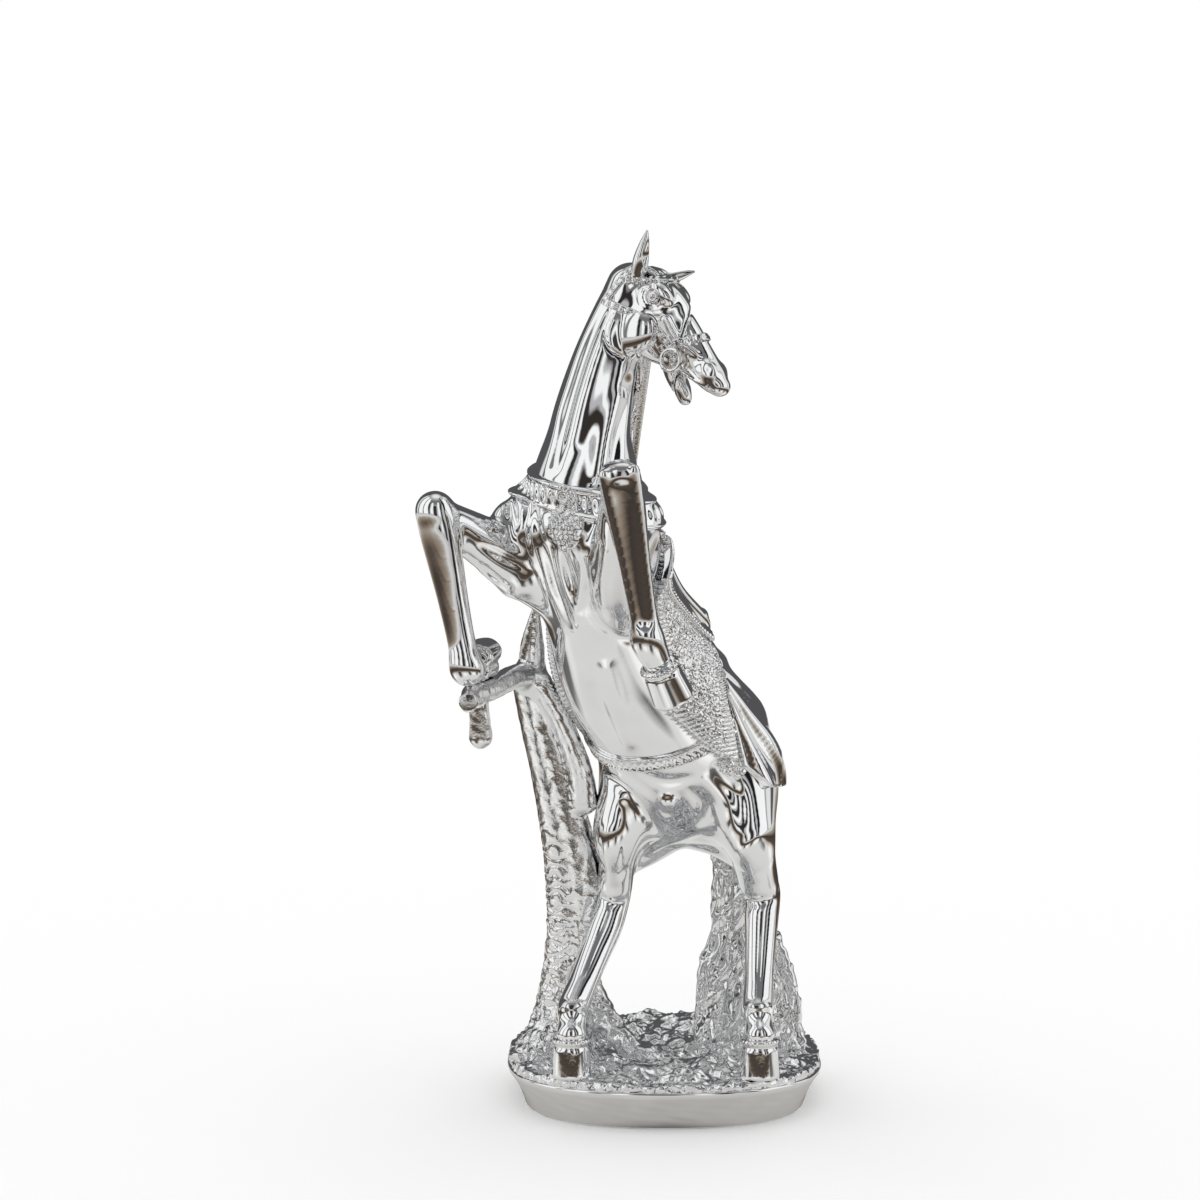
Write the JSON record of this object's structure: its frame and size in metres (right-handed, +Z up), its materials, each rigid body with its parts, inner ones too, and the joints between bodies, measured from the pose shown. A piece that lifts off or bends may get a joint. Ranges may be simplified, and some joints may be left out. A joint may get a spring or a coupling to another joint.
{
  "type": "horse statue",
  "caption": "Rearing horse ornament with a mirror chrome finish, in saddle, cloths and bridle, propped by a tree trunk on a rocky oval base.",
  "frame": {"origin": "centre of the plinth's flat underside", "axes": "+Z up from the surface it stands on; the horse rears towards -Y and its left side is towards +X"},
  "size_m": [0.1702, 0.2302, 0.3718],
  "materials": {
    "polished_plating": "mirror-bright silver plating over smooth cast resin",
    "textured_plating": "bright silver plating over resin cast with hair, fur, bark and rock relief"
  },
  "bodies": {
    "root": {"plinth": "polished_plating", "torso": "polished_plating", "eye_right": "polished_plating", "eye_left": "polished_plating", "head": "polished_plating", "neck": "polished_plating", "lower_jaw": "polished_plating", "ear_right": "polished_plating", "ear_left": "polished_plating", "hoof_fore_right": "polished_plating", "hoof_fore_left": "polished_plating", "hoof_hind_right": "polished_plating", "hoof_hind_left": "polished_plating", "foreleg_right": "polished_plating", "foreleg_left": "polished_plating", "hind_leg_right": "polished_plating", "hind_leg_left": "polished_plating", "breast_collar": "polished_plating", "collar_rosette": "polished_plating", "collar_tassel": "textured_plating", "saddle_blanket": "textured_plating", "saddle_flaps": "polished_plating", "saddle_seat": "polished_plating", "rump_drape": "polished_plating", "drape_hem": "textured_plating", "girth_strap": "polished_plating", "bridle_browband": "polished_plating", "bridle_noseband": "polished_plating", "bridle_headstall": "polished_plating", "bit_ring_right": "polished_plating", "bit_ring_left": "polished_plating", "forelock": "textured_plating", "mane": "textured_plating", "tail": "textured_plating", "tree_trunk": "textured_plating", "tree_branch": "textured_plating", "branch_stub": "textured_plating", "broken_leader": "textured_plating", "flank_limb": "textured_plating", "tree_root_1": "textured_plating", "tree_root_2": "textured_plating", "tree_root_3": "textured_plating", "tree_root_4": "textured_plating", "tree_root_5": "textured_plating", "tree_root_6": "textured_plating", "rocky_ground": "textured_plating"}
  },
  "joints": []
}
